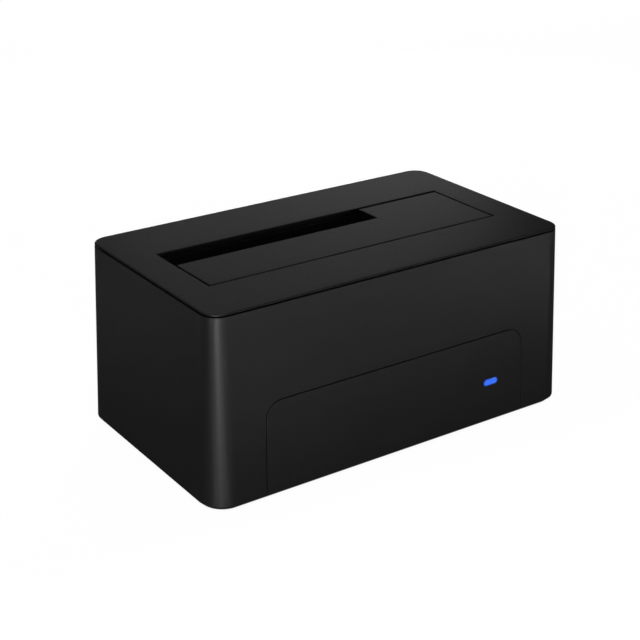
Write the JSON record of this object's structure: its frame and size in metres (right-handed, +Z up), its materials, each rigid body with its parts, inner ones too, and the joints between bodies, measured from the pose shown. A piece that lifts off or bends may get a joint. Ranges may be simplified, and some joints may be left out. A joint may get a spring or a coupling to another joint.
{
  "type": "hard drive docking station",
  "caption": "Black desktop dock that holds a hard drive upright in a top bay, with an L-shaped sprung flap, a narrow slot for small drives, a status light and rear ports.",
  "frame": {"origin": "on the table, under the middle of the housing", "axes": "+X to the right seen from the front panel, +Y to the ports at the back, +Z up"},
  "size_m": [0.1308, 0.077, 0.0586],
  "materials": {
    "housing_abs": "fine moulded texture, satin black",
    "inner_abs": "plain moulded black",
    "foot_rubber": "matte black rubber",
    "plain_steel": "zinc-plated",
    "status_acrylic": "clear acrylic, lit blue from behind",
    "board_laminate": "green solder mask",
    "connector_nylon": "glass-filled black nylon",
    "contact_gold": "gold-plated",
    "chip_epoxy": "moulded epoxy",
    "inductor_ferrite": "pressed ferrite",
    "can_aluminium": "drawn can",
    "led_epoxy": "clear epoxy",
    "port_steel": "nickel-plated sheet",
    "port_blue": "blue nylon",
    "switch_nylon": "dark grey nylon"
  },
  "bodies": {
    "dock": {"housing_shell": "housing_abs", "top_cover": "housing_abs", "drive_guide": "inner_abs", "hinge_pin": "plain_steel", "flap_spring": "plain_steel", "front_panel": "housing_abs", "light_pipe": "status_acrylic", "base_plate": "inner_abs", "foot_front_left": "foot_rubber", "foot_front_right": "foot_rubber", "foot_rear_left": "foot_rubber", "foot_rear_right": "foot_rubber", "main_board": "board_laminate", "sata_receptacle": "connector_nylon", "sata_contacts": "contact_gold", "bridge_chip": "chip_epoxy", "regulator_chip": "chip_epoxy", "crystal": "can_aluminium", "power_inductors": "inductor_ferrite", "filter_capacitors": "can_aluminium", "status_led": "led_epoxy", "usb_shell": "port_steel", "usb_insulator": "port_blue", "usb_contacts": "contact_gold", "dc_jack_body": "inner_abs", "dc_jack_pin": "port_steel", "switch_body": "switch_nylon", "base_screws": "plain_steel", "board_screws": "plain_steel", "guide_screws": "plain_steel"},
    "flap": {"drive_flap": "housing_abs"},
    "button": {"power_button": "housing_abs"}
  },
  "joints": [
    {"name": "flap_hinge", "type": "hinge", "parent": "dock", "child": "flap", "pos_m": [0, -0.0152, 0.0564], "axis": [-1, 0, 0], "range_deg": [0, 90], "stiffness_Nm_per_rad": 0.008, "springref_deg": -20.05, "deforming": ["flap_spring"]},
    {"name": "button_push", "type": "slide", "parent": "dock", "child": "button", "axis": [0, -1, 0], "range_m": [0, 0.002], "stiffness_N_per_m": 400}
  ]
}
